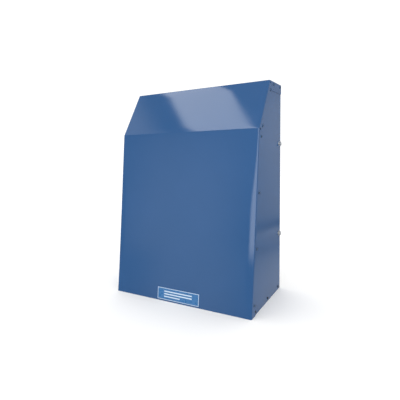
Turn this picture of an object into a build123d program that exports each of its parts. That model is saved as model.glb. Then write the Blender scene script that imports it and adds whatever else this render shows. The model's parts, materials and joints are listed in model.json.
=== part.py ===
from build123d import *
import os
from math import atan2, degrees, hypot

# Wall-mounted weather hood of folded, painted sheet steel, with a bird guard over its open
# bottom and a gravity shutter on the duct opening.
# Origin in the middle of the wall face. +X across, -Y out from the wall, +Z up. Millimetres.

# Hood shell, outside sizes
WIDTH = 500.0  # over the folded edges
HEIGHT = 700.0
BASE_DEPTH = 290.0  # from the wall to the lower front edge
BEND_HEIGHT = 550.0  # where the front meets the slope
BEND_DEPTH = 220.0
TOP_DEPTH = 120.0
SHEET = 1.5
BEND_RADIUS = 4.0
FOLD_RADIUS = 2.5
FLANGE = 30.0  # folded edge that covers the side panel
SKIN_GAP = 0.1  # between the folded edge and the side panel
RELIEF_RADIUS = 3.5
RELIEF_INSET = 9.0  # from the corner of a bend to its relief hole
RELIEF_SLIT = 0.6
RETURN_LIP = 28.0  # folded inwards along the lower front edge
HOOK_LIP = 18.0  # folded down behind the wall frame

# Pan head screws of the shell
SCREW_RADIUS = 2.0
SCREW_LENGTH = 9.0
SCREW_HEAD_RADIUS = 4.0
SCREW_HEAD_HEIGHT = 2.4
SCREW_RECESS = 1.2
PILOT_CLEARANCE = 0.05
HOLE_CLEARANCE = 0.3
SCREW_INSET = 20.0  # from the front and slope edges
FRONT_SCREW_FIRST = 34.0
FRONT_SCREW_PITCH = 164.0
FRONT_SCREWS = 4
SLOPE_SCREW_MARGIN = 22.0
TOP_SCREW_DROP = 9.0
TOP_SCREW_REAR = 12.0
TOP_SCREW_FRONT = 37.0
BASE_SCREW_HEIGHT = 10.0
BASE_SCREW_REAR = 21.0
BASE_SCREW_PITCH = 116.0
BASE_SCREWS = 3

# Hexagon bolts that hold the hood to the wall frame
BOLT_HEIGHTS = (200.0, 506.0)
BOLT_SETBACK = 17.0
BOLT_RADIUS = 4.0
BOLT_LENGTH = 22.0
BOLT_HEAD_FLATS = 13.0
BOLT_HEAD_HEIGHT = 5.3
WASHER_RADIUS = 8.0
WASHER_THICK = 1.6
NUT_BODY_RADIUS = 5.5
NUT_BODY_LENGTH = 15.0
NUT_FLANGE_RADIUS = 7.5
NUT_FLANGE_THICK = 1.0
FIT_GAP = 0.05

# Wall frame and gasket
GASKET = 3.0
PLATE = 2.0
UPSTAND = 35.0
FRAME_FOOT = 30.0  # height of the plate's lower edge
FRAME_HEAD_GAP = 1.5  # under the hood's top
WALL_HOLE_RADIUS = 4.5
WALL_HOLE_SPACING_X = 435.0
WALL_HOLE_SPACING_Z = 600.0
GASKET_BAND = 44.0
GASKET_MARGIN = 5.0

# Duct opening and shutter
DUCT = 400.0
DAMPER_WALL = 1.5
DAMPER_DEPTH = 60.0
DAMPER_FLANGE = 20.0
BLADES = 4
BLADE_SHEET = 1.2
BLADE_SIDE_GAP = 10.0
AXIS_DROP = 8.0  # from the duct's upper wall to the first rod
AXIS_DEPTH = 32.0  # from the plate's front to the rods
ROD_RADIUS = 3.0
ROD_FIT = 0.02
BUSH_BORE_GAP = 0.05
BUSH_WALL = 2.0
BUSH_FLANGE = 1.5
BUSH_FLANGE_RADIUS = 7.0
BLADE_GAP = 1.0
SEAL_GAP = 0.3
SEAL_WIDTH = 9.0
LUG_OUT = 10.0  # from the rod out to the tie pin
LUG_DOWN = 36.0
LUG_RADIUS = 6.0
TIE_THICK = 2.0
TIE_WIDTH = 10.0
TIE_END = 6.0  # from the last pin to the end of the bar
TIE_GAP = 0.2
PIN_RADIUS = 2.0
PIN_FIT = 0.05
PIN_HEAD_RADIUS = 3.5
PIN_HEAD = 1.2
LIP_LEG = 14.0
LIP_DROP = 24.0
RIVET_RADIUS = 2.0
RIVET_HEAD_RADIUS = 3.8
RIVET_HEAD = 1.2
DAMPER_SCREW_PITCH = 130.0

# Lower frame and bird guard
RING_HEIGHT = 5.0
RING_GAP = 0.3
RING_BAND = 27.0
RING_UPSTAND = 22.0
RING_REAR = 8.0
WIRE_RADIUS = 1.0
WELD_GAP = 0.02
MESH_PITCH = 20.0
GUARD_INSET = 12.0
GUARD_SCREW_INSET = 19.0
GUARD_SHEET = 2.0

# Stiffener inside the front
STIFFENER_HEIGHT = 300.0
STIFFENER_WIDTH = 40.0
STIFFENER_DEPTH = 16.0
STIFFENER_SHEET = 1.2

# Name plate on the front
NAMEPLATE_WIDTH = 156.0
NAMEPLATE_HEIGHT = 40.0
NAMEPLATE_THICK = 0.8
NAMEPLATE_RISE = 4.0

BASE = -HEIGHT / 2
TOP = HEIGHT / 2
PANEL_OUT = WIDTH / 2 - SHEET - SKIN_GAP  # outer face of a side panel
PANEL_IN = PANEL_OUT - SHEET
FRAME_SIDE = PANEL_IN - NUT_FLANGE_THICK - FIT_GAP  # outer face of the wall frame's upstands
PLATE_FRONT = -GASKET - PLATE
DAMPER_FRONT = PLATE_FRONT - DAMPER_DEPTH
AXIS_Y = PLATE_FRONT - AXIS_DEPTH
CURL_IN = ROD_RADIUS + ROD_FIT
CURL_OUT = CURL_IN + BLADE_SHEET
BLADE_PITCH = (DUCT - AXIS_DROP) / BLADES
BLADE_HALF = DUCT / 2 - BLADE_SIDE_GAP
AXIS_HEIGHTS = [DUCT / 2 - AXIS_DROP - row * BLADE_PITCH for row in range(BLADES)]
RING_IN = RING_HEIGHT + SHEET
GUARD_BASE = RING_IN + 4 * WIRE_RADIUS + 2 * WELD_GAP  # above the two layers of wire

FRONT_SLOPE = (BASE_DEPTH - BEND_DEPTH) / BEND_HEIGHT
SLOPE_RUN = BEND_DEPTH - TOP_DEPTH
SLOPE_RISE = HEIGHT - BEND_HEIGHT
SLOPE_LENGTH = hypot(SLOPE_RUN, SLOPE_RISE)

os.makedirs("parts", exist_ok=True)


def keep(piece, name):
    """Label a finished piece and write its file."""
    piece.part.label = name
    export_step(piece.part, f"parts/{name}.step")


def front_y(height):
    """Outer face of the front sheet at a height above the lower edge."""
    return -(BASE_DEPTH - FRONT_SLOPE * height)


def side_view(inset):
    """Side view of the hood, moved in from the front, slope and top by `inset`."""
    reach = 200.0
    bend_edge = Vector(-BEND_DEPTH, BASE + BEND_HEIGHT)
    crown_edge = Vector(-TOP_DEPTH, TOP)
    with BuildSketch(Plane.YZ) as view:
        with BuildLine():
            Polyline(
                (reach, TOP),
                crown_edge,
                bend_edge,
                (front_y(-reach), BASE - reach),
                (reach, BASE - reach),
                close=True,
            )
        make_face()
        for corner in (bend_edge, crown_edge):
            fillet(view.vertices().sort_by_distance(corner)[0], BEND_RADIUS)
        if inset:
            offset(amount=-inset, kind=Kind.INTERSECTION, mode=Mode.REPLACE)
        with Locations((-BASE_DEPTH, BASE + HEIGHT)):
            Rectangle(2 * BASE_DEPTH, 2 * HEIGHT, mode=Mode.INTERSECT)
    return view.sketch


def hood_block(inset):
    """Solid hood, `inset` inside the skin, with its long folded edges rounded."""
    half = WIDTH / 2 - inset
    with BuildPart() as body:
        extrude(side_view(inset), amount=half, both=True)
        rim = body.edges().filter_by(lambda e: abs(abs(e.center().X) - half) < 0.001)
        folds = rim.filter_by(lambda e: e.center().Y < -0.001 and e.center().Z > BASE + 0.001)
        fillet(folds, FOLD_RADIUS - inset)
    return body.part


def relief_centres():
    """(y, z) of the relief holes, inwards of the two bends of the front sheet."""
    front = Vector(FRONT_SLOPE, 1).normalized()
    slope = Vector(SLOPE_RUN, SLOPE_RISE).normalized()
    top = Vector(1, 0)
    centres = []
    for corner, before, after in (
        (Vector(-BEND_DEPTH, BASE + BEND_HEIGHT), front, slope),
        (Vector(-TOP_DEPTH, TOP), slope, top),
    ):
        inwards = (after - before).normalized()
        centres.append((corner, inwards))
    return centres


def flange_screw_points():
    """(y, z) of the screws through one folded edge: front, slope and top."""
    points = []
    for row in range(FRONT_SCREWS):
        height = FRONT_SCREW_FIRST + row * FRONT_SCREW_PITCH
        points.append((front_y(height) + SCREW_INSET, BASE + height))
    across = Vector(SLOPE_RISE, -SLOPE_RUN).normalized() * SCREW_INSET
    along = Vector(SLOPE_RUN, SLOPE_RISE).normalized()
    for run in (SLOPE_SCREW_MARGIN, SLOPE_LENGTH - SLOPE_SCREW_MARGIN):
        spot = Vector(-BEND_DEPTH, BASE + BEND_HEIGHT) + along * run + across
        points.append((spot.X, spot.Y))
    points.append((-TOP_DEPTH + TOP_SCREW_FRONT, TOP - TOP_SCREW_DROP))
    points.append((-TOP_SCREW_REAR, TOP - TOP_SCREW_DROP))
    return points


def base_screw_points():
    """(y, z) of the screws along the lower edge of one side."""
    rows = range(BASE_SCREWS)
    return [(-BASE_SCREW_REAR - row * BASE_SCREW_PITCH, BASE + BASE_SCREW_HEIGHT) for row in rows]


def bolt_points():
    return [(-BOLT_SETBACK, BASE + height) for height in BOLT_HEIGHTS]


def drill_x(points, radius, x_low, x_high):
    """Cut round holes along X through the piece being built."""
    with BuildSketch(Plane.YZ.offset(x_low)) as holes:
        with Locations(*points):
            Circle(radius)
    extrude(holes.sketch, amount=x_high - x_low, mode=Mode.SUBTRACT)


def block(x_range, y_range, z_range, mode=Mode.ADD):
    """Rectangular block between two corners, for the piece being built."""
    low = (x_range[0], y_range[0], z_range[0])
    size = (x_range[1] - x_range[0], y_range[1] - y_range[0], z_range[1] - z_range[0])
    with Locations(low):
        Box(*size, align=(Align.MIN, Align.MIN, Align.MIN), mode=mode)


def both_sides(points, x_out):
    """Locations of side fasteners: local +Z points out of the side."""
    places = []
    for y, z in points:
        places.append(Plane((x_out, y, z), x_dir=(0, 1, 0), z_dir=(1, 0, 0)).location)
        places.append(Plane((-x_out, y, z), x_dir=(0, 1, 0), z_dir=(-1, 0, 0)).location)
    return places


def copies(part, places, name):
    """Write one node that holds a copy of `part` at each place."""
    with BuildPart() as group:
        with Locations(*places):
            add(part)
    keep(group, name)


# ---- hood shell ----

with BuildPart() as front_sheet:
    add(hood_block(0))
    add(hood_block(SHEET), mode=Mode.SUBTRACT)
    for x_low, x_high in ((-WIDTH, -WIDTH / 2 + SHEET), (WIDTH / 2 - SHEET, WIDTH)):
        window = side_view(FLANGE).moved(Location((x_low, 0, 0)))
        extrude(window, amount=x_high - x_low, mode=Mode.SUBTRACT)
    lip_x = PANEL_IN - RING_GAP
    block((-lip_x, lip_x), (-BASE_DEPTH + SHEET / 2, -BASE_DEPTH + RETURN_LIP), (BASE, BASE + SHEET))
    block((-lip_x, lip_x), (-SHEET, 0), (TOP - HOOK_LIP, TOP - SHEET / 2))
    drill_x(flange_screw_points(), SCREW_RADIUS + HOLE_CLEARANCE, -WIDTH, WIDTH)
    for corner, inwards in relief_centres():
        centre = corner + inwards * RELIEF_INSET
        drill_x([(centre.X, centre.Y)], RELIEF_RADIUS, -WIDTH, WIDTH)
        turn = degrees(atan2(inwards.Y, inwards.X))
        middle = corner + inwards * (RELIEF_INSET + FLANGE / 2)
        for x_low in (-WIDTH / 2 - 1, WIDTH / 2 - SHEET - SKIN_GAP / 2):
            with BuildSketch(Plane.YZ.offset(x_low)) as slit:
                with Locations(Location((middle.X, middle.Y), turn)):
                    Rectangle(FLANGE, RELIEF_SLIT)
            extrude(slit.sketch, amount=SHEET + 1 + SKIN_GAP / 2, mode=Mode.SUBTRACT)
keep(front_sheet, "front_sheet")


def side_panel(side, name):
    """Flat side sheet, inside the folded edges of the front sheet."""
    inner = PANEL_IN if side > 0 else -PANEL_OUT
    with BuildPart() as panel:
        extrude(side_view(FOLD_RADIUS + SKIN_GAP).moved(Location((inner, 0, 0))), amount=SHEET)
        drill_x(flange_screw_points(), SCREW_RADIUS + PILOT_CLEARANCE, inner, inner + SHEET)
        drill_x(base_screw_points(), SCREW_RADIUS + HOLE_CLEARANCE, inner, inner + SHEET)
        drill_x(bolt_points(), BOLT_RADIUS + HOLE_CLEARANCE, inner, inner + SHEET)
        for corner, inwards in relief_centres():
            centre = corner + inwards * RELIEF_INSET
            drill_x([(centre.X, centre.Y)], RELIEF_RADIUS, inner, inner + SHEET)
    keep(panel, name)


side_panel(-1, "side_panel_left")
side_panel(1, "side_panel_right")

with BuildPart() as front_stiffener:
    seat = front_y(STIFFENER_HEIGHT) + SHEET + RING_GAP
    seat_corner = (-PANEL_IN + RING_GAP, seat, BASE + STIFFENER_HEIGHT)
    with BuildSketch(Plane(seat_corner, (0, 1, -FRONT_SLOPE), (1, 0, 0))) as channel:
        with Locations((STIFFENER_DEPTH / 2, 0)):
            Rectangle(STIFFENER_DEPTH, STIFFENER_WIDTH)
        with Locations((STIFFENER_DEPTH / 2 + STIFFENER_SHEET, 0)):
            Rectangle(STIFFENER_DEPTH, STIFFENER_WIDTH - 2 * STIFFENER_SHEET, mode=Mode.SUBTRACT)
    extrude(amount=2 * (PANEL_IN - RING_GAP))
keep(front_stiffener, "front_stiffener")

with BuildPart() as nameplate:
    rise = NAMEPLATE_RISE + NAMEPLATE_HEIGHT / 2
    face_plane = Plane((0, front_y(rise), BASE + rise), (1, 0, 0), (0, -1, FRONT_SLOPE))
    with BuildSketch(face_plane):
        RectangleRounded(NAMEPLATE_WIDTH, NAMEPLATE_HEIGHT, 1.5)
    extrude(amount=NAMEPLATE_THICK)
keep(nameplate, "nameplate")


# ---- lower frame and bird guard ----

RING_HALF = PANEL_IN - FIT_GAP
RING_FRONT = front_y(RING_HEIGHT) + SHEET + RING_GAP
OPENING_HALF = RING_HALF - RING_BAND
OPENING_FRONT = RING_FRONT + RING_BAND
OPENING_REAR = -RING_REAR - RING_BAND

with BuildPart() as bottom_frame:
    ring_z = (BASE + RING_HEIGHT, BASE + RING_IN)
    block((-RING_HALF, RING_HALF), (RING_FRONT, -RING_REAR), ring_z)
    block((-OPENING_HALF, OPENING_HALF), (OPENING_FRONT, OPENING_REAR), ring_z, Mode.SUBTRACT)
    up_z = (BASE + RING_HEIGHT, BASE + RING_UPSTAND)
    up_y = (front_y(RING_UPSTAND) + SHEET + RING_GAP, -RING_REAR)
    block((-RING_HALF, -RING_HALF + SHEET), up_y, up_z)
    block((RING_HALF - SHEET, RING_HALF), up_y, up_z)
    block((-RING_HALF, RING_HALF), (-RING_REAR - SHEET, -RING_REAR), up_z)
    drill_x(base_screw_points(), SCREW_RADIUS + PILOT_CLEARANCE, -RING_HALF, RING_HALF)
    guard_x = RING_HALF - GUARD_SCREW_INSET
    guard_front = RING_FRONT + GUARD_SCREW_INSET
    guard_rear = -RING_REAR - GUARD_SCREW_INSET
    guard_mid = (guard_front + guard_rear) / 2
    guard_places = [(x, y) for x in (-guard_x, 0, guard_x) for y in (guard_front, guard_rear)]
    guard_places += [(-guard_x, guard_mid), (guard_x, guard_mid)]
    with BuildSketch(Plane.XY.offset(BASE + RING_HEIGHT)) as ring_holes:
        with Locations(*guard_places):
            Circle(SCREW_RADIUS + HOLE_CLEARANCE)
    extrude(ring_holes.sketch, amount=SHEET, mode=Mode.SUBTRACT)
keep(bottom_frame, "bottom_frame")

GUARD_HALF = RING_HALF - GUARD_INSET
GUARD_FRONT = RING_FRONT + GUARD_INSET
GUARD_REAR = -RING_REAR - GUARD_INSET
GUARD_SIZE = (2 * GUARD_HALF, GUARD_REAR - GUARD_FRONT)
GUARD_MIDDLE = (0, (GUARD_FRONT + GUARD_REAR) / 2)
OPENING_SIZE = (2 * OPENING_HALF, OPENING_REAR - OPENING_FRONT)
OPENING_MIDDLE = (0, (OPENING_FRONT + OPENING_REAR) / 2)

WIRES_ALONG_Y = 2 * round(OPENING_SIZE[0] / 2 / MESH_PITCH)
WIRES_ALONG_X = 2 * round(OPENING_SIZE[1] / 2 / MESH_PITCH)

with BuildPart() as guard_mesh:
    low_z = BASE + RING_IN + WIRE_RADIUS
    with BuildSketch(Plane((0, GUARD_REAR, low_z), (1, 0, 0), (0, -1, 0))) as wire_ends:
        with GridLocations(MESH_PITCH, 0, WIRES_ALONG_Y, 1):
            Circle(WIRE_RADIUS)
    extrude(wire_ends.sketch, amount=GUARD_SIZE[1])
    high_z = low_z + 2 * WIRE_RADIUS + WELD_GAP
    with BuildSketch(Plane((-GUARD_HALF, GUARD_MIDDLE[1], high_z), (0, 1, 0), (1, 0, 0))) as cross_ends:
        with GridLocations(MESH_PITCH, 0, WIRES_ALONG_X, 1):
            Circle(WIRE_RADIUS)
    extrude(cross_ends.sketch, amount=GUARD_SIZE[0])
keep(guard_mesh, "guard_mesh")

with BuildPart() as guard_frame:
    with BuildSketch(Plane.XY.offset(BASE + GUARD_BASE)):
        with Locations(GUARD_MIDDLE):
            Rectangle(*GUARD_SIZE)
        with Locations(OPENING_MIDDLE):
            Rectangle(*OPENING_SIZE, mode=Mode.SUBTRACT)
        with Locations(*guard_places):
            Circle(SCREW_RADIUS + PILOT_CLEARANCE, mode=Mode.SUBTRACT)
    extrude(amount=GUARD_SHEET)
keep(guard_frame, "guard_frame")


# ---- wall frame, gasket and shutter frame ----

FRAME_LOW = BASE + FRAME_FOOT
FRAME_HIGH = TOP - SHEET - FRAME_HEAD_GAP
UPSTAND_HIGH = TOP - TOP_SCREW_DROP - 2 * SCREW_HEAD_RADIUS  # clear of the top screws
WALL_HOLES = GridLocations(WALL_HOLE_SPACING_X, WALL_HOLE_SPACING_Z, 2, 2)
DAMPER_OUT = DUCT / 2 + DAMPER_WALL
DAMPER_EDGE = DAMPER_OUT + DAMPER_FLANGE
SCREW_LINE = DAMPER_OUT + DAMPER_FLANGE / 2
damper_spots = [(x, z) for x in (-1, 0, 1) for z in (-1, 1)]
damper_places = [(x * DAMPER_SCREW_PITCH, z * SCREW_LINE) for x, z in damper_spots]
damper_places += [(z * SCREW_LINE, x * DAMPER_SCREW_PITCH) for x, z in damper_spots]


def drill_y(points, radius, y_low, y_high):
    """Cut round holes along Y; the points are (x, z)."""
    with BuildSketch(Plane.XZ.offset(-y_high)) as holes:
        with Locations(*points):
            Circle(radius)
    extrude(holes.sketch, amount=y_high - y_low, mode=Mode.SUBTRACT)


wall_hole_points = [(place.position.X, place.position.Y) for place in WALL_HOLES]

with BuildPart() as wall_frame:
    block((-FRAME_SIDE, FRAME_SIDE), (PLATE_FRONT, -GASKET), (FRAME_LOW, FRAME_HIGH))
    for x_low in (-FRAME_SIDE, FRAME_SIDE - PLATE):
        block((x_low, x_low + PLATE), (PLATE_FRONT - UPSTAND, -GASKET), (FRAME_LOW, UPSTAND_HIGH))
    block((-DUCT / 2, DUCT / 2), (PLATE_FRONT, -GASKET), (-DUCT / 2, DUCT / 2), Mode.SUBTRACT)
    drill_x(bolt_points(), NUT_BODY_RADIUS + FIT_GAP, -FRAME_SIDE, FRAME_SIDE)
    drill_y(wall_hole_points, WALL_HOLE_RADIUS, PLATE_FRONT, -GASKET)
    drill_y(damper_places, SCREW_RADIUS + PILOT_CLEARANCE, PLATE_FRONT, -GASKET)
keep(wall_frame, "wall_frame")

with BuildPart() as wall_gasket:
    gasket_half = FRAME_SIDE - GASKET_MARGIN
    gasket_low = WALL_HOLE_SPACING_Z / 2 + GASKET_BAND / 2
    inner = (gasket_half - GASKET_BAND, gasket_low - GASKET_BAND)
    block((-gasket_half, gasket_half), (-GASKET, 0), (-gasket_low, gasket_low))
    block((-inner[0], inner[0]), (-GASKET, 0), (-inner[1], inner[1]), Mode.SUBTRACT)
    drill_y(wall_hole_points, WALL_HOLE_RADIUS, -GASKET, 0)
    drill_y(damper_places, SCREW_RADIUS + HOLE_CLEARANCE, -GASKET, 0)
keep(wall_gasket, "wall_gasket")

with BuildPart() as damper_frame:
    outer = (-DAMPER_OUT, DAMPER_OUT)
    edge = (-DAMPER_EDGE, DAMPER_EDGE)
    bore = (-DUCT / 2, DUCT / 2)
    block(outer, (DAMPER_FRONT, PLATE_FRONT), outer)
    block(edge, (PLATE_FRONT - DAMPER_WALL, PLATE_FRONT), edge)
    block(bore, (DAMPER_FRONT, PLATE_FRONT), bore, Mode.SUBTRACT)
    rod_points = [(AXIS_Y, height) for height in AXIS_HEIGHTS]
    bush_radius = ROD_RADIUS + BUSH_BORE_GAP + BUSH_WALL
    drill_x(rod_points, bush_radius + FIT_GAP, -DAMPER_OUT, DAMPER_OUT)
    drill_y(damper_places, SCREW_RADIUS + HOLE_CLEARANCE, PLATE_FRONT - DAMPER_WALL, PLATE_FRONT)
    lip_y = DAMPER_FRONT + LIP_LEG / 2
    rivet_xs = [DAMPER_SCREW_PITCH * step for step in (-1, 0, 1)]
    with BuildSketch(Plane.XY.offset(-DAMPER_OUT)) as rivet_holes:
        with Locations(*[(x, lip_y) for x in rivet_xs]):
            Circle(RIVET_RADIUS + FIT_GAP)
    extrude(rivet_holes.sketch, amount=DAMPER_WALL, mode=Mode.SUBTRACT)
keep(damper_frame, "damper_frame")

with BuildPart() as drip_lip:
    lip_top = -DAMPER_OUT - FIT_GAP
    lip_x = DUCT / 2
    block((-lip_x, lip_x), (DAMPER_FRONT - SHEET, DAMPER_FRONT + LIP_LEG), (lip_top - SHEET, lip_top))
    drop_y = (DAMPER_FRONT - SHEET, DAMPER_FRONT)
    block((-lip_x, lip_x), drop_y, (lip_top - LIP_DROP, lip_top))
    with BuildSketch(Plane.XY.offset(lip_top - SHEET)) as lip_holes:
        with Locations(*[(x, lip_y) for x in rivet_xs]):
            Circle(RIVET_RADIUS + FIT_GAP)
    extrude(lip_holes.sketch, amount=SHEET, mode=Mode.SUBTRACT)
keep(drip_lip, "drip_lip")

with BuildPart() as damper_seals:
    seal_front = AXIS_Y - CURL_IN + SEAL_GAP
    seal_rear = AXIS_Y + CURL_OUT + 2 * SEAL_GAP
    for x_low in (-DUCT / 2, DUCT / 2 - SEAL_WIDTH - BLADE_SIDE_GAP):
        x_high = x_low + SEAL_WIDTH + BLADE_SIDE_GAP
        block((x_low, x_high), (seal_front, seal_rear), (-DUCT / 2, DUCT / 2))
    drill_x(rod_points, BUSH_FLANGE_RADIUS + SEAL_GAP, -DUCT / 2, DUCT / 2)
keep(damper_seals, "damper_seals")


# ---- shutter blades on their rods ----

with BuildPart() as bush:
    with BuildSketch(Plane.XY.offset(-DAMPER_WALL - BUSH_FLANGE)) as sleeve:
        Circle(bush_radius)
        Circle(ROD_RADIUS + BUSH_BORE_GAP, mode=Mode.SUBTRACT)
    extrude(amount=DAMPER_WALL + 2 * BUSH_FLANGE)
    with BuildSketch(Plane.XY.offset(-DAMPER_WALL - BUSH_FLANGE)) as flange_disc:
        Circle(BUSH_FLANGE_RADIUS)
        Circle(ROD_RADIUS + BUSH_BORE_GAP, mode=Mode.SUBTRACT)
    extrude(amount=BUSH_FLANGE - FIT_GAP)

copies(bush.part, both_sides(rod_points, DAMPER_OUT), "blade_bushes")

LUG_SIDE = -BLADE_HALF  # the lugs and the tie bar are at the left end
TIE_SIDE = LUG_SIDE - TIE_GAP


def blade(height, name):
    """One shutter blade: a sheet curled round its rod, with a lug for the tie bar."""
    low = height - BLADE_PITCH + CURL_OUT + BLADE_GAP
    with BuildPart() as shutter:
        with BuildSketch(Plane.YZ.offset(-BLADE_HALF)) as section:
            with Locations((AXIS_Y, height)):
                Circle(CURL_OUT)
            with Locations((AXIS_Y - (CURL_IN + CURL_OUT) / 2, (height + low) / 2)):
                Rectangle(BLADE_SHEET, height - low)
            with Locations((AXIS_Y, height)):
                Circle(CURL_IN, mode=Mode.SUBTRACT)
        extrude(amount=2 * BLADE_HALF)
        pin = (AXIS_Y - LUG_OUT, height - LUG_DOWN)
        root = AXIS_Y - CURL_IN
        with BuildSketch(Plane.YZ.offset(LUG_SIDE)) as lug:
            with Locations(pin):
                Circle(LUG_RADIUS)
            with Locations(((pin[0] + root) / 2, pin[1])):
                Rectangle(root - pin[0], 2 * LUG_RADIUS)
            with Locations(pin):
                Circle(PIN_RADIUS + PIN_FIT, mode=Mode.SUBTRACT)
        extrude(amount=BLADE_SHEET)
    keep(shutter, name)


def pivot_rod(height, name):
    """Rod that turns in the bushes and carries one blade."""
    half = DAMPER_OUT + BUSH_FLANGE
    with BuildPart() as rod:
        with BuildSketch(Plane.YZ.offset(-half)):
            with Locations((AXIS_Y, height)):
                Circle(ROD_RADIUS)
        extrude(amount=2 * half)
        chamfer(rod.edges().filter_by(GeomType.CIRCLE), 0.5)
    keep(rod, name)


for row, axis_height in enumerate(AXIS_HEIGHTS, start=1):
    blade(axis_height, f"blade_{row}")
    pivot_rod(axis_height, f"pivot_rod_{row}")

pin_points = [(AXIS_Y - LUG_OUT, height - LUG_DOWN) for height in AXIS_HEIGHTS]

with BuildPart() as tie_bar:
    bar_low = pin_points[-1][1] - TIE_END
    bar_high = pin_points[0][1] + TIE_END
    bar_y = AXIS_Y - LUG_OUT
    with BuildSketch(Plane.YZ.offset(TIE_SIDE - TIE_THICK)) as bar:
        with Locations((bar_y, (bar_low + bar_high) / 2)):
            RectangleRounded(TIE_WIDTH, bar_high - bar_low, TIE_WIDTH / 3)
        with Locations(*pin_points):
            Circle(PIN_RADIUS + PIN_FIT, mode=Mode.SUBTRACT)
    extrude(amount=TIE_THICK)
keep(tie_bar, "tie_bar")

with BuildPart() as tie_pin:
    stem_start = TIE_SIDE - TIE_THICK - FIT_GAP
    stem_end = LUG_SIDE + BLADE_SHEET + FIT_GAP
    Cylinder(PIN_RADIUS, stem_end - stem_start, align=(Align.CENTER, Align.CENTER, Align.MIN))
    with Locations((0, 0, -PIN_HEAD)):
        Cylinder(PIN_HEAD_RADIUS, PIN_HEAD, align=(Align.CENTER, Align.CENTER, Align.MIN))
    with Locations((0, 0, stem_end - stem_start)):
        Cylinder(PIN_HEAD_RADIUS, PIN_HEAD, align=(Align.CENTER, Align.CENTER, Align.MIN))

pin_places = [Plane((stem_start, y, z), (0, 1, 0), (1, 0, 0)).location for y, z in pin_points]
copies(tie_pin.part, pin_places, "tie_pins")


# ---- fasteners ----

with BuildPart() as pan_screw:
    Cylinder(SCREW_RADIUS, SCREW_LENGTH, align=(Align.CENTER, Align.CENTER, Align.MAX))
    Cylinder(SCREW_HEAD_RADIUS, SCREW_HEAD_HEIGHT, align=(Align.CENTER, Align.CENTER, Align.MIN))
    crown = pan_screw.edges().filter_by(GeomType.CIRCLE).sort_by(Axis.Z)[-1]
    fillet(crown, SCREW_HEAD_HEIGHT * 0.6)
    with BuildSketch(Plane.XY.offset(SCREW_HEAD_HEIGHT)) as cross:
        Rectangle(SCREW_HEAD_RADIUS, SCREW_HEAD_RADIUS / 4)
        Rectangle(SCREW_HEAD_RADIUS / 4, SCREW_HEAD_RADIUS)
    extrude(cross.sketch, amount=-SCREW_RECESS, mode=Mode.SUBTRACT)
    tip = pan_screw.edges().filter_by(GeomType.CIRCLE).sort_by(Axis.Z)[0]
    chamfer(tip, SCREW_RADIUS / 2)

copies(pan_screw.part, both_sides(flange_screw_points(), WIDTH / 2), "sheet_screws")
copies(pan_screw.part, both_sides(base_screw_points(), PANEL_OUT), "base_screws")

guard_locations = [Plane((x, y, BASE + RING_HEIGHT), (1, 0, 0), (0, 0, -1)).location for x, y in guard_places]
copies(pan_screw.part, guard_locations, "guard_screws")

screw_face = PLATE_FRONT - DAMPER_WALL
damper_locations = [Plane((x, screw_face, z), (1, 0, 0), (0, -1, 0)).location for x, z in damper_places]
with BuildPart() as short_screw:
    add(pan_screw.part)
    room = SCREW_LENGTH - DAMPER_WALL - PLATE - GASKET + FIT_GAP
    with Locations((0, 0, -SCREW_LENGTH)):
        Cylinder(2 * SCREW_RADIUS, room, align=(Align.CENTER, Align.CENTER, Align.MIN), mode=Mode.SUBTRACT)
copies(short_screw.part, damper_locations, "damper_screws")

with BuildPart() as hex_bolt:
    Cylinder(BOLT_RADIUS, BOLT_LENGTH, align=(Align.CENTER, Align.CENTER, Align.MAX))
    chamfer(hex_bolt.edges().filter_by(GeomType.CIRCLE).sort_by(Axis.Z)[0], BOLT_RADIUS / 4)
    with BuildSketch() as hexagon:
        RegularPolygon(BOLT_HEAD_FLATS / 2, 6, major_radius=False)
    extrude(amount=BOLT_HEAD_HEIGHT)
copies(hex_bolt.part, both_sides(bolt_points(), PANEL_OUT + WASHER_THICK), "hood_bolts")

with BuildPart() as washer:
    with BuildSketch():
        Circle(WASHER_RADIUS)
        Circle(BOLT_RADIUS + HOLE_CLEARANCE, mode=Mode.SUBTRACT)
    extrude(amount=WASHER_THICK)
copies(washer.part, both_sides(bolt_points(), PANEL_OUT), "hood_washers")

with BuildPart() as rivet_nut:
    with BuildSketch() as flange_ring:
        Circle(NUT_FLANGE_RADIUS)
    extrude(amount=NUT_FLANGE_THICK)
    with BuildSketch() as barrel:
        Circle(NUT_BODY_RADIUS)
    extrude(amount=-NUT_BODY_LENGTH)
    with BuildSketch(Plane.XY.offset(NUT_FLANGE_THICK)) as thread:
        Circle(BOLT_RADIUS + FIT_GAP)
    extrude(amount=-NUT_BODY_LENGTH - NUT_FLANGE_THICK, mode=Mode.SUBTRACT)
copies(rivet_nut.part, both_sides(bolt_points(), FRAME_SIDE), "rivet_nuts")

with BuildPart() as rivet:
    grip = DAMPER_WALL + FIT_GAP + SHEET
    Cylinder(RIVET_RADIUS, grip, align=(Align.CENTER, Align.CENTER, Align.MIN))
    Cylinder(RIVET_HEAD_RADIUS, RIVET_HEAD, align=(Align.CENTER, Align.CENTER, Align.MAX))
    fillet(rivet.edges().filter_by(GeomType.CIRCLE).sort_by(Axis.Z)[0], RIVET_HEAD * 0.6)
    with Locations((0, 0, grip)):
        Cylinder(RIVET_RADIUS * 1.5, RIVET_HEAD, align=(Align.CENTER, Align.CENTER, Align.MIN))
rivet_locations = [Location((x, lip_y, lip_top - SHEET)) for x in rivet_xs]
copies(rivet.part, rivet_locations, "lip_rivets")
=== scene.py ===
import json
import math

import bmesh
import bpy
from mathutils import Matrix, Vector


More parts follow.
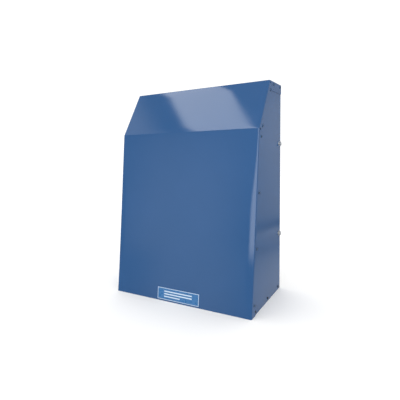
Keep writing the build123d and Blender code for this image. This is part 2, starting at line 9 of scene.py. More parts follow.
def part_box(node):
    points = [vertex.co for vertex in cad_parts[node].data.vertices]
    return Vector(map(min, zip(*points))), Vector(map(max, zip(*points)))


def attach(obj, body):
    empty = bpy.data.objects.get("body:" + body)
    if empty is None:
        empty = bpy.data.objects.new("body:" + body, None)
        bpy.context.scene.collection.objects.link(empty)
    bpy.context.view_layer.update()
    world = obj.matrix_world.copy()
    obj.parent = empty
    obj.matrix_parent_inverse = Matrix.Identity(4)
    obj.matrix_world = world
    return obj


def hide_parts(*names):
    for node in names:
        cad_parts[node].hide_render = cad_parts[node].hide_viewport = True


# A wall-mounted weather hood in glossy blue powder coat, on a pale studio floor.
# Everything is in metres, in the frame of the CAD model: -Y is out from the wall, +Z is up.

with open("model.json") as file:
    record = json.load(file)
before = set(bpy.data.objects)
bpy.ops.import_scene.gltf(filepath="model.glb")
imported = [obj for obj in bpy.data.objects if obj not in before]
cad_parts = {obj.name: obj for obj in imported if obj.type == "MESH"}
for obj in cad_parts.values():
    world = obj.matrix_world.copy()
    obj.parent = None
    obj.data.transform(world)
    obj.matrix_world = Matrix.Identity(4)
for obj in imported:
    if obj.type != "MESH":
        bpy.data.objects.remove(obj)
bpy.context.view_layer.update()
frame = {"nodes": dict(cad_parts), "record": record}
nodes = frame["nodes"]

sheet_low, sheet_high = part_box("front_sheet")
WIDTH = sheet_high.x - sheet_low.x
HEIGHT = sheet_high.z - sheet_low.z
BASE = sheet_low.z

FRONT_HEIGHT = 0.550  # from the lower edge to the bend between front and slope
SLOPE_HEIGHT = 0.150
DEPTH_LOW, DEPTH_BEND, DEPTH_TOP = 0.290, 0.220, 0.120
BEND_AT = BASE + FRONT_HEIGHT
FRONT_LEAN = (DEPTH_BEND - DEPTH_LOW) / FRONT_HEIGHT  # change in y for each metre down
SLOPE_LEAN = (DEPTH_BEND - DEPTH_TOP) / SLOPE_HEIGHT  # change in y for each metre up
MERGE = 1e-5  # points this close are one


# ---- camera ----

AZIMUTH, ELEVATION, ROLL = (math.radians(angle) for angle in (30.95, 6.44, -1.41))
CAMERA_SPOT = (1.1976, -2.4901, 0.9685)  # in hood widths, from the lower edge of the wall face
SENSOR = 36.0
FOCAL = 0.90925  # this and the shifts are shares of the frame's width
SHIFT_X, SHIFT_Y = 0.045875, -0.015625


def place_camera():
    """Camera a little above mid-height, to the right of the hood, with its slight roll."""
    spot = Vector(CAMERA_SPOT) * WIDTH + Vector((0, 0, BASE))
    back = Vector((
        math.sin(AZIMUTH) * math.cos(ELEVATION),
        -math.cos(AZIMUTH) * math.cos(ELEVATION),
        math.sin(ELEVATION),
    ))
    right = (-back).cross(Vector((0, 0, 1))).normalized()
    up = right.cross(-back)
    turned_right = right * math.cos(ROLL) + up * math.sin(ROLL)
    turned_up = up * math.cos(ROLL) - right * math.sin(ROLL)
    data = bpy.data.cameras.new("camera")
    data.sensor_width = SENSOR
    data.lens = SENSOR * FOCAL
    data.shift_x = SHIFT_X
    data.shift_y = SHIFT_Y
    data.clip_start = 0.05
    camera = bpy.data.objects.new("camera", data)
    bpy.context.scene.collection.objects.link(camera)
    axes = Matrix((turned_right, turned_up, back)).transposed()
    camera.matrix_world = Matrix.Translation(spot) @ axes.to_4x4()
    bpy.context.scene.camera = camera


place_camera()


# ---- material helpers ----

class Shader:
    """Small helper that builds one node material."""

    def __init__(self, name):
        self.material = bpy.data.materials.new(name)
        self.material.use_nodes = True
        self.tree = self.material.node_tree
        self.surface = self.tree.nodes["Principled BSDF"]
        self.place = self.tree.nodes.new("ShaderNodeTexCoord")

    def node(self, kind, **settings):
        made = self.tree.nodes.new(kind)
        for key, value in settings.items():
            if key in made.inputs:
                made.inputs[key].default_value = value
            else:
                setattr(made, key, value)
        return made

    def link(self, source, target):
        self.tree.links.new(source, target)

    def noise(self, scale, detail=4.0, roughness=0.5, stretch=None):
        """Noise on object coordinates, stretched along the axes if asked."""
        texture = self.node("ShaderNodeTexNoise", Scale=scale, Detail=detail, Roughness=roughness)
        source = self.place.outputs["Object"]
        if stretch:
            mapping = self.node("ShaderNodeMapping")
            mapping.inputs["Scale"].default_value = stretch
            self.link(source, mapping.inputs["Vector"])
            source = mapping.outputs["Vector"]
        self.link(source, texture.inputs["Vector"])
        return texture.outputs["Fac"]

    def spread(self, source, low, high, from_low=0.3, from_high=0.7):
        """Map a 0-1 pattern onto a range of values."""
        ranged = self.node("ShaderNodeMapRange")
        limits = {"From Min": from_low, "From Max": from_high, "To Min": low, "To Max": high}
        for key, value in limits.items():
            ranged.inputs[key].default_value = value
        self.link(source, ranged.inputs["Value"])
        return ranged.outputs["Result"]

    def blend(self, factor, first, second):
        """Mix two colours by a pattern."""
        mix = self.node("ShaderNodeMix", data_type="RGBA")
        self.link(factor, mix.inputs[0])
        for socket, value in ((mix.inputs[6], first), (mix.inputs[7], second)):
            if isinstance(value, tuple):
                socket.default_value = (*value, 1)
            else:
                self.link(value, socket)
        return mix.outputs[2]

    def bump(self, source, strength, distance, below=None):
        """Raise the surface by a pattern, on top of another bump if one is given."""
        made = self.node("ShaderNodeBump", Strength=strength, Distance=distance)
        self.link(source, made.inputs["Height"])
        if below:
            self.link(below, made.inputs["Normal"])
        return made.outputs["Normal"]


def blue_powder_coat():
    s = Shader("blue_powder_coat")
    clouds = s.spread(s.noise(3.2, 3.0), 0.0, 1.0)
    base = s.blend(clouds, (0.0300, 0.0965, 0.240), (0.0345, 0.1045, 0.258))
    s.link(base, s.surface.inputs["Base Color"])
    s.link(s.spread(s.noise(9.0, 5.0), 0.06, 0.11), s.surface.inputs["Roughness"])
    s.surface.inputs["IOR"].default_value = 1.52
    peel = s.bump(s.noise(260.0, 2.0), 0.05, 0.0006)
    s.link(s.bump(s.noise(5.0, 1.0), 0.10, 0.004, peel), s.surface.inputs["Normal"])
    return s.material


def galvanised_steel():
    s = Shader("galvanised_steel")
    flakes = s.node("ShaderNodeTexVoronoi", Scale=170.0, Randomness=1.0)
    s.link(s.place.outputs["Object"], flakes.inputs["Vector"])
    tone = s.spread(flakes.outputs["Color"], 0.0, 1.0, 0.0, 1.0)
    s.link(s.blend(tone, (0.44, 0.46, 0.48), (0.60, 0.62, 0.64)), s.surface.inputs["Base Color"])
    s.surface.inputs["Metallic"].default_value = 1.0
    s.link(s.spread(flakes.outputs["Color"], 0.32, 0.48, 0.0, 1.0), s.surface.inputs["Roughness"])
    s.link(s.bump(s.noise(120.0), 0.05, 0.0005), s.surface.inputs["Normal"])
    return s.material


def zinc_plate():
    s = Shader("zinc_plate")
    tone = s.spread(s.noise(60.0), 0.0, 1.0)
    s.link(s.blend(tone, (0.46, 0.49, 0.54), (0.60, 0.63, 0.67)), s.surface.inputs["Base Color"])
    s.surface.inputs["Metallic"].default_value = 0.55
    s.link(s.spread(s.noise(300.0), 0.26, 0.42), s.surface.inputs["Roughness"])
    s.link(s.bump(s.noise(900.0), 0.1, 0.0001), s.surface.inputs["Normal"])
    return s.material


def dark_screw_finish(name, low, high):
    s = Shader(name)
    tone = s.spread(s.noise(400.0), 0.0, 1.0)
    s.link(s.blend(tone, low, high), s.surface.inputs["Base Color"])
    s.surface.inputs["Metallic"].default_value = 0.3
    s.link(s.spread(s.noise(300.0), 0.30, 0.50), s.surface.inputs["Roughness"])
    s.link(s.bump(s.noise(1200.0), 0.1, 0.0001), s.surface.inputs["Normal"])
    return s.material


def rolled_aluminium():
    s = Shader("rolled_aluminium")
    lines = s.noise(60.0, 6.0, 0.6, (1.0, 40.0, 40.0))
    s.link(s.blend(s.spread(lines, 0.0, 1.0), (0.66, 0.67, 0.69), (0.78, 0.79, 0.80)),
           s.surface.inputs["Base Color"])
    s.surface.inputs["Metallic"].default_value = 1.0
    s.link(s.spread(lines, 0.26, 0.40), s.surface.inputs["Roughness"])
    s.link(s.bump(lines, 0.06, 0.0003), s.surface.inputs["Normal"])
    return s.material


def stainless_wire():
    s = Shader("stainless_wire")
    tone = s.spread(s.noise(150.0), 0.0, 1.0)
    s.link(s.blend(tone, (0.55, 0.56, 0.58), (0.72, 0.73, 0.74)), s.surface.inputs["Base Color"])
    s.surface.inputs["Metallic"].default_value = 1.0
    s.link(s.spread(s.noise(500.0), 0.22, 0.34), s.surface.inputs["Roughness"])
    return s.material


def foam_rubber():
    s = Shader("foam_rubber")
    pores = s.node("ShaderNodeTexVoronoi", Scale=900.0)
    s.link(s.place.outputs["Object"], pores.inputs["Vector"])
    s.link(s.blend(s.spread(s.noise(80.0), 0.0, 1.0), (0.012, 0.012, 0.013), (0.026, 0.026, 0.027)),
           s.surface.inputs["Base Color"])
    s.surface.inputs["Roughness"].default_value = 0.9
    s.link(s.bump(pores.outputs["Distance"], 0.5, 0.0006), s.surface.inputs["Normal"])
    return s.material


def white_nylon():
    s = Shader("white_nylon")
    s.link(s.blend(s.spread(s.noise(90.0), 0.0, 1.0), (0.70, 0.69, 0.64), (0.78, 0.77, 0.73)),
           s.surface.inputs["Base Color"])
    s.link(s.spread(s.noise(200.0), 0.40, 0.52), s.surface.inputs["Roughness"])
    s.surface.inputs["Subsurface Weight"].default_value = 0.1
    return s.material


def label_blue():
    s = Shader("label_blue")
    s.link(s.blend(s.spread(s.noise(30.0), 0.0, 1.0), (0.036, 0.165, 0.395), (0.044, 0.185, 0.430)),
           s.surface.inputs["Base Color"])
    s.link(s.spread(s.noise(120.0), 0.24, 0.34), s.surface.inputs["Roughness"])
    s.link(s.bump(s.noise(500.0), 0.05, 0.0003), s.surface.inputs["Normal"])
    return s.material


def label_white():
    s = Shader("label_white")
    s.link(s.blend(s.spread(s.noise(200.0), 0.0, 1.0), (0.62, 0.74, 0.86), (0.70, 0.81, 0.92)),
           s.surface.inputs["Base Color"])
    s.link(s.spread(s.noise(300.0), 0.30, 0.42), s.surface.inputs["Roughness"])
    s.link(s.bump(s.noise(900.0), 0.05, 0.0001), s.surface.inputs["Normal"])
    return s.material


DARK_SCREW = dark_screw_finish(
    "dark_screw_finish", (0.016, 0.026, 0.046), (0.026, 0.038, 0.062))
# Lighter, bluer copy of the same dark screw finish, for the screws along the front fold: painted
# light, so these heads read lighter than the shade on them makes them.
SCREW_PAINTED_LIGHTER = dark_screw_finish(
    "screw_finish_painted_lighter", (0.058, 0.110, 0.198), (0.072, 0.130, 0.228))

FINISH = {
    "blue_paint": blue_powder_coat(),
    "galvanised": galvanised_steel(),
    "zinc": zinc_plate(),
    "stainless_wire": stainless_wire(),
    "dark_screw": DARK_SCREW,
    "aluminium": rolled_aluminium(),
    "foam_rubber": foam_rubber(),
    "nylon": white_nylon(),
    "label": label_blue(),
}

SLOT = {entry["node"]: entry["material_slot"] for entry in frame["record"]["subparts"]}

for entry in frame["record"]["subparts"]:
    part = nodes[entry["node"]]
    finish = FINISH[entry["material_slot"]]
    if part.data.materials:
        for index in range(len(part.data.materials)):
            part.data.materials[index] = finish
    else:
        part.data.materials.append(finish)


# ---- name plate ----

def rounded_outline(width, height, radius, steps=6):
    """Corner points of a rounded rectangle, anticlockwise."""
    points = []
    for quarter, (side, top) in enumerate(((1, 1), (-1, 1), (-1, -1), (1, -1))):
        for step in range(steps + 1):
            angle = math.radians(90 * (quarter + step / steps))
            x = side * (width / 2 - radius) + radius * math.cos(angle)
            y = top * (height / 2 - radius) + radius * math.sin(angle)
            points.append((x, y))
    return points


PLATE_WIDTH, PLATE_HEIGHT, PLATE_THICK = 0.156, 0.040, 0.00074
PLATE_CORNER, PLATE_BEVEL = 0.0015, 0.0003
PLATE_RISE = 0.024  # from the hood's lower edge to the middle of the plate
PRINT_THICK = 0.00005
BORDER_OUTER = (PLATE_WIDTH - 0.0020, PLATE_HEIGHT - 0.0020, 0.0009)  # width, height, corner
BORDER_INNER = (PLATE_WIDTH - 0.0050, PLATE_HEIGHT - 0.0050, 0.0006)
BARS = ((0.0, 0.0085, 0.104), (0.0, 0.0, 0.104), (-0.022, -0.0085, 0.060))  # middle, length
BAR_HEIGHT, BAR_CORNER, BAR_CORNER_STEPS = 0.0036, 0.0008, 3


def printed_name_plate():
    """Blue plate with a printed white border and plain bars."""
    mesh = bmesh.new()

    def ring(points, w):
        return [mesh.verts.new((x, y, w)) for x, y in points]

    def join(low, high, finish):
        for index in range(len(low)):
            after = (index + 1) % len(low)
            face = mesh.faces.new((low[index], low[after], high[after], high[index]))
            face.material_index = finish

    outline = rounded_outline(PLATE_WIDTH, PLATE_HEIGHT, PLATE_CORNER)
    back = ring(outline, 0)
    side = ring(outline, PLATE_THICK - PLATE_BEVEL)
    front = ring(rounded_outline(
        PLATE_WIDTH - 2 * PLATE_BEVEL, PLATE_HEIGHT - 2 * PLATE_BEVEL, PLATE_CORNER - PLATE_BEVEL,
    ), PLATE_THICK)
    join(back, side, 0)
    join(side, front, 0)
    mesh.faces.new(front).material_index = 0
    mesh.faces.new(list(reversed(back))).material_index = 0

    low, high = PLATE_THICK, PLATE_THICK + PRINT_THICK
    outer, inner = rounded_outline(*BORDER_OUTER), rounded_outline(*BORDER_INNER)
    outer_low, outer_high = ring(outer, low), ring(outer, high)
    inner_low, inner_high = ring(inner, low), ring(inner, high)
    join(outer_low, outer_high, 1)
    join(outer_high, inner_high, 1)
    join(inner_high, inner_low, 1)
    join(inner_low, outer_low, 1)
    for middle_x, middle_y, length in BARS:
        bar = rounded_outline(length, BAR_HEIGHT, BAR_CORNER, BAR_CORNER_STEPS)
        bar = [(x + middle_x, y + middle_y) for x, y in bar]
        bar_low, bar_high = ring(bar, low), ring(bar, high)
        join(bar_low, bar_high, 1)
        mesh.faces.new(bar_high).material_index = 1
        mesh.faces.new(list(reversed(bar_low))).material_index = 1

    out = Vector((0, -1, -FRONT_LEAN)).normalized()
    across = Vector((1, 0, 0))
    axes = Matrix((across, out.cross(across), out)).transposed()
    middle = Vector((0, -DEPTH_LOW - FRONT_LEAN * PLATE_RISE, BASE + PLATE_RISE))
    mesh.transform(Matrix.Translation(middle) @ axes.to_4x4())
    bmesh.ops.recalc_face_normals(mesh, faces=mesh.faces)
    data = bpy.data.meshes.new("printed_name_plate")
    mesh.to_mesh(data)
    mesh.free()
    data.materials.append(FINISH["label"])
    data.materials.append(label_white())
    piece = bpy.data.objects.new("printed_name_plate", data)
    bpy.context.scene.collection.objects.link(piece)
    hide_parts("nameplate")
    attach(piece, "hood")


printed_name_plate()


# ---- screws and bolts ----

class Tree:
    """Small helper that builds one Geometry Nodes tree."""

    def __init__(self, name):
        self.group = bpy.data.node_groups.new(name, "GeometryNodeTree")
        face = self.group.interface
        face.new_socket("Geometry", in_out="INPUT", socket_type="NodeSocketGeometry")
        face.new_socket("Geometry", in_out="OUTPUT", socket_type="NodeSocketGeometry")
        self.inside = self.group.nodes.new("NodeGroupInput")
        self.outside = self.group.nodes.new("NodeGroupOutput")

    def size(self, name, kind="NodeSocketFloat"):
        self.group.interface.new_socket(name, in_out="INPUT", socket_type=kind)
        return self.inside.outputs[name]

    def node(self, kind, inputs=None, **settings):
        made = self.group.nodes.new(kind)
        for key, value in settings.items():
            setattr(made, key, value)
        for key, value in (inputs or {}).items():
            socket = made.inputs[key]
            if isinstance(value, bpy.types.NodeSocket):
                self.group.links.new(value, socket)
            else:
                socket.default_value = value
        return made

    def math(self, operation, first, second=0.0):
        return self.node("ShaderNodeMath", {0: first, 1: second}, operation=operation).outputs[0]

    def vector(self, x=0.0, y=0.0, z=0.0):
        return self.node("ShaderNodeCombineXYZ", {0: x, 1: y, 2: z}).outputs[0]


def domed_head(tree, radius, height, roundness):
    """Flat-bottomed dome: a ball whose upper half is squared off and lower half pressed flat."""
    ball = tree.node("GeometryNodeMeshUVSphere", {"Segments": 28, "Rings": 20, "Radius": 1.0})
    place = tree.node("GeometryNodeInputPosition")
    axes = tree.node("ShaderNodeSeparateXYZ", {0: place.outputs[0]})
    x, y, z = axes.outputs
    squares = tree.math("ADD", tree.math("MULTIPLY", x, x), tree.math("MULTIPLY", y, y))
    reach = tree.math("MAXIMUM", tree.math("SQRT", squares), 0.0001)
    widen = tree.math("MULTIPLY", tree.math("POWER", reach, roundness - 1.0), radius)
    lift = tree.math("POWER", tree.math("MAXIMUM", z, 0.0), roundness)
    moved = tree.vector(
        tree.math("MULTIPLY", x, widen),
        tree.math("MULTIPLY", y, widen),
        tree.math("MULTIPLY", lift, height),
    )
    return tree.node(
        "GeometryNodeSetPosition", {"Geometry": ball.outputs["Mesh"], "Position": moved})


HEAD_ROUNDNESS = {"screw": 0.55, "bolt": 0.30}
RECESS_ARM = 0.24  # width of a cross recess arm, of the head's radius
RECESS_LIFT = 1.02  # where the recess arms sit, of the head's height


def fastener_tree(name, kind):
    """A fastener at every point, its head towards the point's `outward`, turned at random."""
    tree = Tree(name)
    radius, height = tree.size("Head Radius"), tree.size("Head Height")
    shank_radius, shank_length = tree.size("Shank Radius"), tree.size("Shank Length")
    finish = tree.size("Finish", "NodeSocketMaterial")
    seed = tree.size("Seed", "NodeSocketInt")
    head = domed_head(tree, radius, height, HEAD_ROUNDNESS[kind]).outputs[0]
    if kind == "screw":
        narrow = tree.math("MULTIPLY", radius, RECESS_ARM)
        arms = []
        for side_x, side_y in ((radius, narrow), (narrow, radius)):
            arm = tree.node("GeometryNodeMeshCube", {"Size": tree.vector(side_x, side_y, height)})
            moved = tree.node("GeometryNodeTransform", {
                "Geometry": arm.outputs["Mesh"],
                "Translation": tree.vector(z=tree.math("MULTIPLY", height, RECESS_LIFT)),
            })
            arms.append(moved.outputs[0])
        cut = tree.node("GeometryNodeMeshBoolean", {"Mesh 1": head}, operation="DIFFERENCE")
        for arm in arms:
            tree.group.links.new(arm, cut.inputs["Mesh 2"])
        head = cut.outputs["Mesh"]
    if kind == "bolt":
        prism = tree.node("GeometryNodeMeshCylinder", {
            "Vertices": 6, "Radius": radius, "Depth": tree.math("MULTIPLY", height, 2.0),
        })
        hexagon = tree.node("GeometryNodeMeshBoolean", operation="INTERSECT")
        tree.group.links.new(head, hexagon.inputs["Mesh 2"])
        tree.group.links.new(prism.outputs["Mesh"], hexagon.inputs["Mesh 2"])
        head = hexagon.outputs["Mesh"]
    shank = tree.node("GeometryNodeMeshCylinder", {
        "Vertices": 20, "Radius": shank_radius, "Depth": shank_length,
    })
    lowered = tree.node("GeometryNodeTransform", {
        "Geometry": shank.outputs["Mesh"],
        "Translation": tree.vector(z=tree.math("MULTIPLY", shank_length, -0.5)),
    })
    whole = tree.node("GeometryNodeJoinGeometry")
    tree.group.links.new(lowered.outputs[0], whole.inputs[0])
    tree.group.links.new(head, whole.inputs[0])
    outward = tree.node(
        "GeometryNodeInputNamedAttribute", {"Name": "outward"}, data_type="FLOAT_VECTOR")
    aim = tree.node(
        "FunctionNodeAlignRotationToVector", {"Vector": outward.outputs["Attribute"]}, axis="Z")
    spin = tree.node("FunctionNodeRandomValue", {"Seed": seed}, data_type="FLOAT")
    spin.inputs[2].default_value = 0.0
    spin.inputs[3].default_value = math.pi
    turn = tree.node(
        "FunctionNodeAxisAngleToRotation", {"Axis": (0, 0, 1), "Angle": spin.outputs[1]})
    turned = tree.node(
        "FunctionNodeRotateRotation", {0: aim.outputs[0], 1: turn.outputs[0]},
        rotation_space="LOCAL")
    placed = tree.node("GeometryNodeInstanceOnPoints", {
        "Points": tree.inside.outputs["Geometry"],
        "Instance": whole.outputs[0],
        "Rotation": turned.outputs[0],
    })
    real = tree.node("GeometryNodeRealizeInstances", {0: placed.outputs[0]})
    painted = tree.node(
        "GeometryNodeSetMaterial", {"Geometry": real.outputs[0], "Material": finish})
    tree.group.links.new(painted.outputs[0], tree.outside.inputs[0])
    return tree.group


def seats_of(node, outward_of, head_height):
    """Seat point and outward direction of each fastener in a CAD node."""
    mesh = bmesh.new()
    mesh.from_mesh(nodes[node].data)
    mesh.transform(nodes[node].matrix_world)
    bmesh.ops.remove_doubles(mesh, verts=mesh.verts, dist=MERGE)
    seats, waiting = [], set(mesh.verts)
    while waiting:
        island, front = [], [waiting.pop()]
        while front:
            vertex = front.pop()
            island.append(vertex.co.copy())
            for edge in vertex.link_edges:
                other = edge.other_vert(vertex)
                if other in waiting:
                    waiting.remove(other)
                    front.append(other)
        low = Vector([min(point[axis] for point in island) for axis in range(3)])
        high = Vector([max(point[axis] for point in island) for axis in range(3)])
        middle = (low + high) / 2
        outward = outward_of(middle)
        reach = abs((high - low).dot(outward)) / 2
        seats.append((middle + outward * (reach - head_height), outward, 2 * reach - head_height))
    mesh.free()
    seats.sort(key=lambda seat: tuple(round(value, 4) for value in seat[0]))
    return seats


def fasteners(name, node, kind, outward_of, slot, seed, finish=None):
    """Finer screws or bolts in the seats of a CAD node, which they replace."""
    head_radius, head_height, shank_radius = FASTENER_SIZES[kind]
    seats = seats_of(node, outward_of, head_height)
    points = bpy.data.meshes.new(name)
    points.from_pydata([seat[0] for seat in seats], [], [])
    outwards = points.attributes.new("outward", "FLOAT_VECTOR", "POINT")
    outwards.data.foreach_set("vector", [value for seat in seats for value in seat[1]])
    holder = bpy.data.objects.new(name, points)
    bpy.context.scene.collection.objects.link(holder)
    modifier = holder.modifiers.new("fasteners", "NODES")
    modifier.node_group = FASTENER_TREES[kind]
    values = {
        "Head Radius": head_radius, "Head Height": head_height, "Shank Radius": shank_radius,
        "Shank Length": seats[0][2], "Finish": finish or FINISH[slot], "Seed": seed,
    }
    for item in modifier.node_group.interface.items_tree:
        if item.item_type == "SOCKET" and item.in_out == "INPUT" and item.name in values:
            modifier[item.identifier] = values[item.name]
    bpy.context.view_layer.update()
    evaluated = holder.evaluated_get(bpy.context.evaluated_depsgraph_get())
    shaped = bpy.data.meshes.new_from_object(evaluated)
    holder.modifiers.clear()
    holder.data = shaped
    shaped.polygons.foreach_set("use_smooth", [True] * len(shaped.polygons))
    shaped.set_sharp_from_angle(angle=FASTENER_SHARP)
    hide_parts(node)
    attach(holder, "hood")


FASTENER_TREES = {
    "screw": fastener_tree("pan_head_screws", "screw"),
    "bolt": fastener_tree("hexagon_bolts", "bolt"),
}
FASTENER_SIZES = {  # head radius, head height, shank radius
    "screw": (0.0040, 0.0024, 0.0020),
    "bolt": (0.0130 / math.sqrt(3), 0.0053, 0.0040),
}
FASTENER_SHARP = math.radians(32)  # edges steeper than this stay crisp


def sideways(middle):
    return Vector((math.copysign(1.0, middle.x), 0, 0))


def out_from_wall(middle):
    return Vector((0, -1, 0))


def downwards(middle):
    return Vector((0, 0, -1))


# The screws along the front fold take the lightened copy of the screw finish: painted light on
# their heads.
fasteners("side_screws", "sheet_screws", "screw", sideways, "dark_screw", 3, SCREW_PAINTED_LIGHTER)
fasteners("lower_screws", "base_screws", "screw", sideways, "dark_screw", 5)
fasteners("shutter_screws", "damper_screws", "screw", out_from_wall, SLOT["damper_screws"], 7)
fasteners("guard_frame_screws", "guard_screws", "screw", downwards, SLOT["guard_screws"], 9)
fasteners("side_bolts", "hood_bolts", "bolt", sideways, "zinc", 11)


# ---- folded front sheet ----

ROLL_ANGLE = math.radians(7.0)  # how far the sheet turns in at its fold
FRONT_BOW, FRONT_RIPPLE, SLOPE_BOW = 0.0005, 0.00012, 0.00035
COLUMN_START, COLUMN_STEP, COLUMNS = -0.2475, 0.0165, 31
ROW_START, ROW_STEP, ROWS = 0.004, 0.0182, 38
FOLD_INSETS = (0.004, 0.006, 0.008, 0.011, 0.015, 0.019, 0.024, 0.030)
FRONT_SHARP = math.radians(24)


def smooth_step(value, low, high):
    t = min(max((value - low) / (high - low), 0.0), 1.0)
    return t * t * (3 - 2 * t)


def edge_roll(from_edge, height):
    """How far the face falls back near a folded edge: folding draws the sheet in there."""
    reach = 0.005 + 0.018 * smooth_step(BEND_AT - height, 0.04, 0.26)
    reach *= smooth_step(height - BASE, -0.05, 0.10)
    t = max(1 - from_edge / max(reach, 0.001), 0.0)
    return math.tan(ROLL_ANGLE) * reach * t * t / 2


def oil_canning(x, height):
    """Shallow waves that thin sheet keeps after folding."""
    across = math.cos(math.pi * x / WIDTH)
    if height < BEND_AT:
        along = math.sin(math.pi * min(max((height - BASE) / FRONT_HEIGHT, 0), 1))
        ripple = math.sin(9.0 * (height - BASE) + 5.0 * x)
        wave = FRONT_BOW * along + FRONT_RIPPLE * ripple
    else:
        along = math.sin(math.pi * min(max((height - BEND_AT) / SLOPE_HEIGHT, 0), 1))
        wave = SLOPE_BOW * along
    return across * wave


def bowed_front_sheet():
    """The front sheet cut into a fine grid and drawn in near its folds."""
    source = nodes["front_sheet"]
    mesh = bmesh.new()
    mesh.from_mesh(source.data)
    mesh.transform(source.matrix_world)
    bmesh.ops.remove_doubles(mesh, verts=mesh.verts, dist=MERGE)
    half = WIDTH / 2
    columns = [COLUMN_START + COLUMN_STEP * column for column in range(COLUMNS)]
    columns += [side * (half - inset) for side in (-1, 1) for inset in FOLD_INSETS]
    rows = [BASE + ROW_START + ROW_STEP * row for row in range(ROWS)]
    cuts = [((x, 0, 0), (1, 0, 0)) for x in columns] + [((0, 0, z), (0, 0, 1)) for z in rows]
    for spot, direction in cuts:
        bmesh.ops.bisect_plane(
            mesh, geom=mesh.verts[:] + mesh.edges[:] + mesh.faces[:], dist=1e-6,
            plane_co=spot, plane_no=direction)
    for vertex in mesh.verts:
        x, y, z = vertex.co
        if z < BEND_AT:
            face_y = FRONT_LEAN * (BEND_AT - z) - DEPTH_BEND
        else:
            face_y = SLOPE_LEAN * (z - BEND_AT) - DEPTH_BEND
        depth = y - face_y
        hold = 1 - smooth_step(depth, 0.002, 0.030)
        hold *= smooth_step(BASE + HEIGHT - z, 0.002, 0.020) if z > BEND_AT else 1.0
        fall = edge_roll(half - abs(x), z) + oil_canning(x, z)
        vertex.co.y += hold * fall
    bmesh.ops.recalc_face_normals(mesh, faces=mesh.faces)
    data = bpy.data.meshes.new("folded_front")
    mesh.to_mesh(data)
    mesh.free()
    data.polygons.foreach_set("use_smooth", [True] * len(data.polygons))
    data.set_sharp_from_angle(angle=FRONT_SHARP)
    data.materials.append(FINISH["blue_paint"])
    piece = bpy.data.objects.new("folded_front", data)
    bpy.context.scene.collection.objects.link(piece)
    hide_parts("front_sheet")
    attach(piece, "hood")


bowed_front_sheet()


# ---- studio ----

def soft_light(name, size, spot, aim, power):
    """Area light that lights the hood but leaves no mirror image in the paint."""
    data = bpy.data.lights.new(name, "AREA")
    data.shape = "RECTANGLE"
    data.size, data.size_y = size
    data.energy = power
    lamp = bpy.data.objects.new(name, data)
    bpy.context.scene.collection.objects.link(lamp)
    towards = (Vector(aim) - Vector(spot)).to_track_quat("-Z", "Y")
    lamp.matrix_world = Matrix.Translation(Vector(spot)) @ towards.to_matrix().to_4x4()
    lamp.visible_glossy = False


def only_in_reflections(thing):
    """The camera and the matt surfaces don't see this studio piece."""
    thing.visible_camera = False
    thing.visible_diffuse = False
    thing.visible_shadow = False
    thing.visible_transmission = False


CARD_STEPS = 32
FAR = 40.0  # radius of the surround
AMBIENT = 0.10  # level of the surround outside its patches
SIDE_MIRROR = 162.4  # azimuth that the middle of the side sheet mirrors
LEDGE_TILT, TILT_REACH = 0.285, 6.0  # how the wall's levels slope across that mirror image
RAMP_LOW, RAMP_HIGH = -30, 50
NEAR_SHARE, FULL_SHARE = 0.62, 0.38
WALL_LEVELS = (  # elevation in degrees, level
    (-25, 0.44), (-21, 0.45), (-19.3, 0.45), (-17.5, 0.40), (-16.3, 0.35), (-15.2, 0.22),
    (-14.4, 0.27), (-13.3, 0.32), (-12.6, 0.43), (-12.3, 0.42), (-12.05, 0.15), (-11.6, 0.07),
    (-11.2, 0.13), (-10.5, 0.29), (-8.8, 0.345), (-4.2, 0.385), (0.1, 0.43), (2.4, 0.46),
    (6.6, 0.45), (8.4, 0.38), (12, 0.36), (40, 0.50),
)


def reflected_card(name, corners, glow, soft):
    """Glowing card for the gloss paint to mirror. Its left, right, low and high edges fade out."""
    steps = CARD_STEPS
    low_left, low_right, high_right, high_left = [Vector(corner) for corner in corners]
    points, levels, faces = [], [], []
    for row in range(steps + 1):
        for column in range(steps + 1):
            u, v = column / steps, row / steps
            points.append(low_left.lerp(low_right, u).lerp(high_left.lerp(high_right, u), v))
            fades = [smooth_step(t, 0, edge) for t, edge in zip((u, 1 - u, v, 1 - v), soft) if edge]
            levels.append(math.prod(fades))
    for row in range(steps):
        for column in range(steps):
            first = row * (steps + 1) + column
            faces.append((first, first + 1, first + steps + 2, first + steps + 1))
    mesh = bpy.data.meshes.new(name)
    mesh.from_pydata(points, [], faces)
    level = mesh.attributes.new("level", "FLOAT", "POINT")
    level.data.foreach_set("value", levels)
    s = Shader(name)
    fading = s.node("ShaderNodeAttribute", attribute_name="level")
    glowing = s.node("ShaderNodeEmission", Strength=glow)
    clear = s.node("ShaderNodeBsdfTransparent")
    mix = s.node("ShaderNodeMixShader")
    s.link(fading.outputs["Fac"], mix.inputs["Fac"])
    s.link(clear.outputs["BSDF"], mix.inputs[1])
    s.link(glowing.outputs["Emission"], mix.inputs[2])
    s.link(mix.outputs["Shader"], s.tree.nodes["Material Output"].inputs["Surface"])
    mesh.materials.append(s.material)
    card = bpy.data.objects.new(name, mesh)
    bpy.context.scene.collection.objects.link(card)
    only_in_reflections(card)


